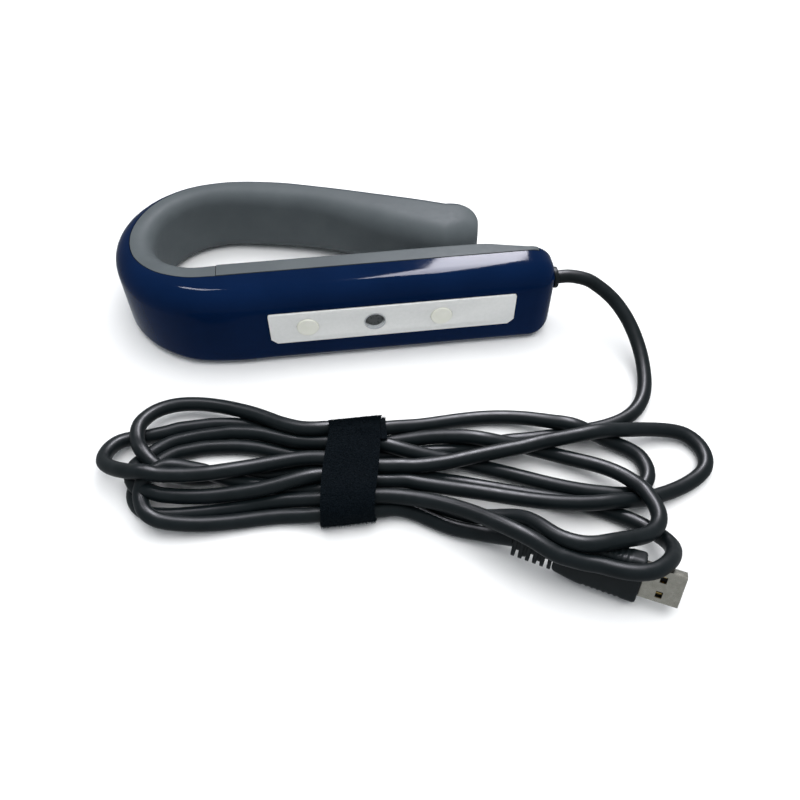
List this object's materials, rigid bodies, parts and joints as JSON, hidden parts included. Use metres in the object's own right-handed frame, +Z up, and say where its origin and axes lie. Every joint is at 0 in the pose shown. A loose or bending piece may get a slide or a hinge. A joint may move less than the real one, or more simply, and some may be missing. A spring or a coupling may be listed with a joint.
{
  "type": "microchip scanner",
  "caption": "Hand-held U-shaped RFID reader: blue outer shell, grey liner and handle cover, panel of push buttons, and a tied USB lead.",
  "frame": {"origin": "the middle of the scanner's bounding box in plan, at its base, without the lead", "axes": "+X along the handle towards the lead, +Y from the button panel towards the back arm, +Z up"},
  "size_m": [0.228, 0.2177, 0.0367],
  "materials": {
    "blue_shell": "high gloss navy ABS",
    "grey_liner": "satin grey ABS",
    "panel_aluminium": "satin silver foil panel with a bright edge",
    "cream_button": "satin cream",
    "dark_button": "satin dark grey",
    "chrome_ring": "polished",
    "cable_jacket": "semi-gloss black PVC",
    "plug_overmould": "satin black PVC",
    "strap_fabric": "black hook-and-loop pile",
    "nickel_shell": "nickel plated sheet",
    "black_parts": "matt black",
    "circuit_board": "solder mask",
    "steel_parts": "zinc plated",
    "white_plastic": "natural nylon",
    "copper_winding": "enamelled copper wire",
    "gold_contacts": "gold flash"
  },
  "bodies": {
    "scanner": {"outer_shell": "blue_shell", "inner_shell": "grey_liner", "handle_cover": "grey_liner", "button_plate": "panel_aluminium", "centre_bezel": "chrome_ring", "left_switch": "black_parts", "centre_switch": "black_parts", "right_switch": "black_parts", "main_board": "circuit_board", "processor_chip": "black_parts", "reader_chip": "black_parts", "crystal": "steel_parts", "capacitor": "steel_parts", "buzzer": "black_parts", "cable_header": "white_plastic", "antenna_connector": "white_plastic", "antenna_core": "black_parts", "antenna_coil": "copper_winding", "antenna_lead": "copper_winding", "board_screw_1": "steel_parts", "board_screw_2": "steel_parts", "cover_screw_1": "steel_parts", "cover_screw_2": "steel_parts", "clamp_screw_1": "steel_parts", "clamp_screw_2": "steel_parts", "cable_clamp": "white_plastic", "inner_cable": "cable_jacket", "cable_gland": "cable_jacket", "cord_lead": "cable_jacket", "cord_hank": "cable_jacket", "cord_tail": "cable_jacket", "cable_strap": "strap_fabric", "plug_relief": "plug_overmould", "plug_body": "plug_overmould", "plug_shell": "nickel_shell", "plug_tongue": "black_parts", "plug_contact_1": "gold_contacts", "plug_contact_2": "gold_contacts", "plug_contact_3": "gold_contacts", "plug_contact_4": "gold_contacts"},
    "left_button": {"left_button": "cream_button"},
    "centre_button": {"centre_button": "dark_button"},
    "right_button": {"right_button": "cream_button"}
  },
  "joints": [
    {"name": "left_button_press", "type": "slide", "parent": "scanner", "child": "left_button", "axis": [0, 1, 0], "range_m": [0, 0.0008], "stiffness_N_per_m": 1500, "springref_m": -0.0005},
    {"name": "centre_button_press", "type": "slide", "parent": "scanner", "child": "centre_button", "axis": [0, 1, 0], "range_m": [0, 0.0006], "stiffness_N_per_m": 1500, "springref_m": -0.0005},
    {"name": "right_button_press", "type": "slide", "parent": "scanner", "child": "right_button", "axis": [0, 1, 0], "range_m": [0, 0.0008], "stiffness_N_per_m": 1500, "springref_m": -0.0005}
  ]
}
